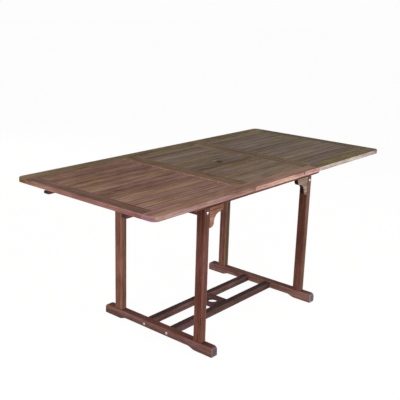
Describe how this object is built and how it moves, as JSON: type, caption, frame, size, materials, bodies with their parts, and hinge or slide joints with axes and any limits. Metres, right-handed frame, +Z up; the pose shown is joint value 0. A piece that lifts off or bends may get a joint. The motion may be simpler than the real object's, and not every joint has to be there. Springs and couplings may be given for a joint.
{
  "type": "extending garden table",
  "caption": "Slatted hardwood garden table on trestle legs, with sliding end leaves, a folding centre insert and a parasol hole through the top and the base.",
  "frame": {"origin": "on the floor under the middle of the extended top", "axes": "+X along the length, +Y to the back, +Z up"},
  "size_m": [1.7, 0.8, 0.7471],
  "materials": {
    "top_wood": "oiled, satin",
    "frame_wood": "oiled, satin",
    "low_wood": "oiled, satin",
    "zinc": "zinc plated",
    "bronze": "dark, aged"
  },
  "bodies": {
    "base": {"foot_bar_left": "frame_wood", "trestle_rail_left": "frame_wood", "bearer_left": "frame_wood", "stud_plate_left": "zinc", "insert_hanger_left": "zinc", "hinge_back_left": "bronze", "hinge_pin_left": "bronze", "foot_bar_right": "frame_wood", "trestle_rail_right": "frame_wood", "bearer_right": "frame_wood", "stud_plate_right": "zinc", "insert_hanger_right": "zinc", "hinge_back_right": "bronze", "hinge_pin_right": "bronze", "leg_left_front": "frame_wood", "bracket_left_front": "frame_wood", "leg_bolt_left_front": "zinc", "stretcher_bolt_left_front": "zinc", "leg_left_back": "frame_wood", "bracket_left_back": "frame_wood", "leg_bolt_left_back": "zinc", "stretcher_bolt_left_back": "zinc", "leg_right_front": "frame_wood", "bracket_right_front": "frame_wood", "leg_bolt_right_front": "zinc", "stretcher_bolt_right_front": "zinc", "leg_right_back": "frame_wood", "bracket_right_back": "frame_wood", "leg_bolt_right_back": "zinc", "stretcher_bolt_right_back": "zinc", "side_rail_front": "frame_wood", "keeper_strip_front": "frame_wood", "stretcher_front": "low_wood", "side_rail_back": "frame_wood", "keeper_strip_back": "frame_wood", "stretcher_back": "low_wood", "parasol_plate": "low_wood", "insert_back_stile": "top_wood", "insert_back_slats": "top_wood", "insert_back_right_rail": "top_wood", "insert_centre_board": "top_wood"},
    "insert_front_half": {"insert_front_stile": "top_wood", "insert_front_slats": "top_wood", "insert_front_right_rail": "top_wood", "insert_inner_stile": "top_wood", "hinge_front_left": "bronze", "hinge_front_right": "bronze"},
    "left_leaf": {"left_leaf_end_rail": "top_wood", "left_leaf_slats": "top_wood", "left_leaf_front_stile": "top_wood", "left_leaf_front_runner": "frame_wood", "left_leaf_back_stile": "top_wood", "left_leaf_back_runner": "frame_wood"},
    "right_leaf": {"right_leaf_end_rail": "top_wood", "right_leaf_slats": "top_wood", "right_leaf_front_stile": "top_wood", "right_leaf_front_runner": "frame_wood", "right_leaf_back_stile": "top_wood", "right_leaf_back_runner": "frame_wood"}
  },
  "joints": [
    {"name": "left_leaf_slide", "type": "slide", "parent": "base", "child": "left_leaf", "axis": [-1, 0, 0], "range_m": [0, 0.03]},
    {"name": "right_leaf_slide", "type": "slide", "parent": "base", "child": "right_leaf", "axis": [1, 0, 0], "range_m": [0, 0.03]},
    {"name": "insert_fold", "type": "hinge", "parent": "base", "child": "insert_front_half", "pos_m": [0, -0.045, 0.7449], "axis": [-1, 0, 0], "range_deg": [0, 180]}
  ]
}
